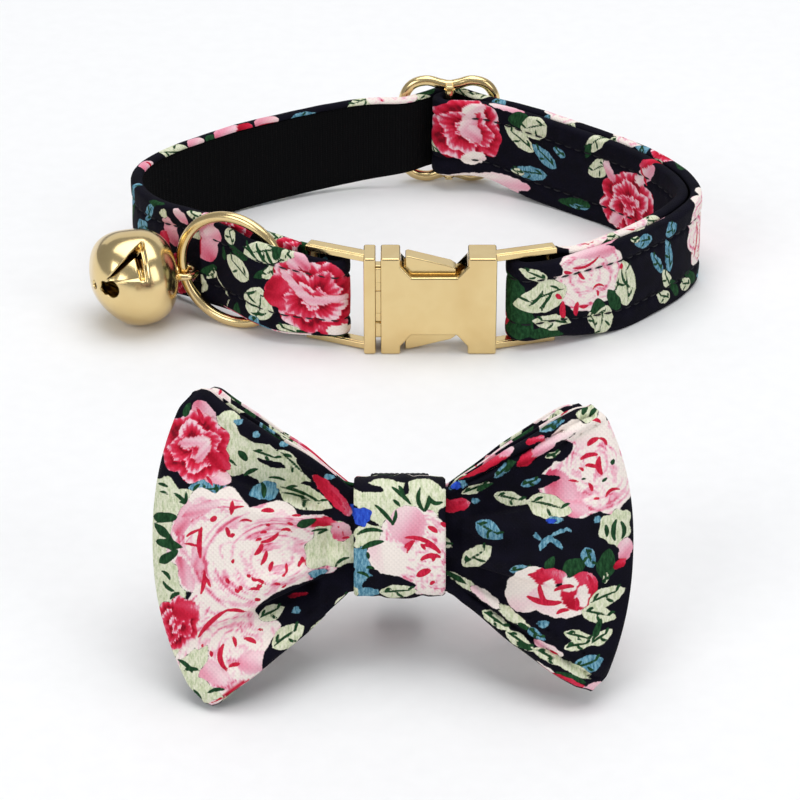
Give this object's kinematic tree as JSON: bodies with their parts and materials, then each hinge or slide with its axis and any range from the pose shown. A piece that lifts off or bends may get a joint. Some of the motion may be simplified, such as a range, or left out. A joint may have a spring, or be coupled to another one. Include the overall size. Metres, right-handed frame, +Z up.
{
  "type": "pet bow tie collar",
  "caption": "Floral cotton pet collar standing on its edge, with gold side-release buckle, leash ring, bell and slide, and its detachable bow tie standing in front.",
  "frame": {"origin": "under the middle of the collar and bow tie together, on the surface they stand on", "axes": "+Z up across the strap's width, +Y from the bow tie towards the collar's slide, so the buckle and the bow face -Y"},
  "size_m": [0.125, 0.217, 0.0469],
  "materials": {
    "floral_cotton": "plain-weave cotton, printed with roses and leaves on navy, matt",
    "webbing": "black ribbed webbing, matt",
    "elastic": "black woven elastic, matt",
    "gold_metal": "light gold plating, polished"
  },
  "bodies": {
    "root": {"strap_cover": "floral_cotton", "strap_webbing": "webbing", "keeper_tab": "floral_cotton", "buckle_housing": "gold_metal", "buckle_insert": "gold_metal", "leash_ring": "gold_metal", "bell": "gold_metal", "bell_pellet": "gold_metal", "slide": "gold_metal", "bow_front": "floral_cotton", "bow_back": "floral_cotton", "bow_knot": "floral_cotton", "bow_loop": "elastic"}
  },
  "joints": []
}
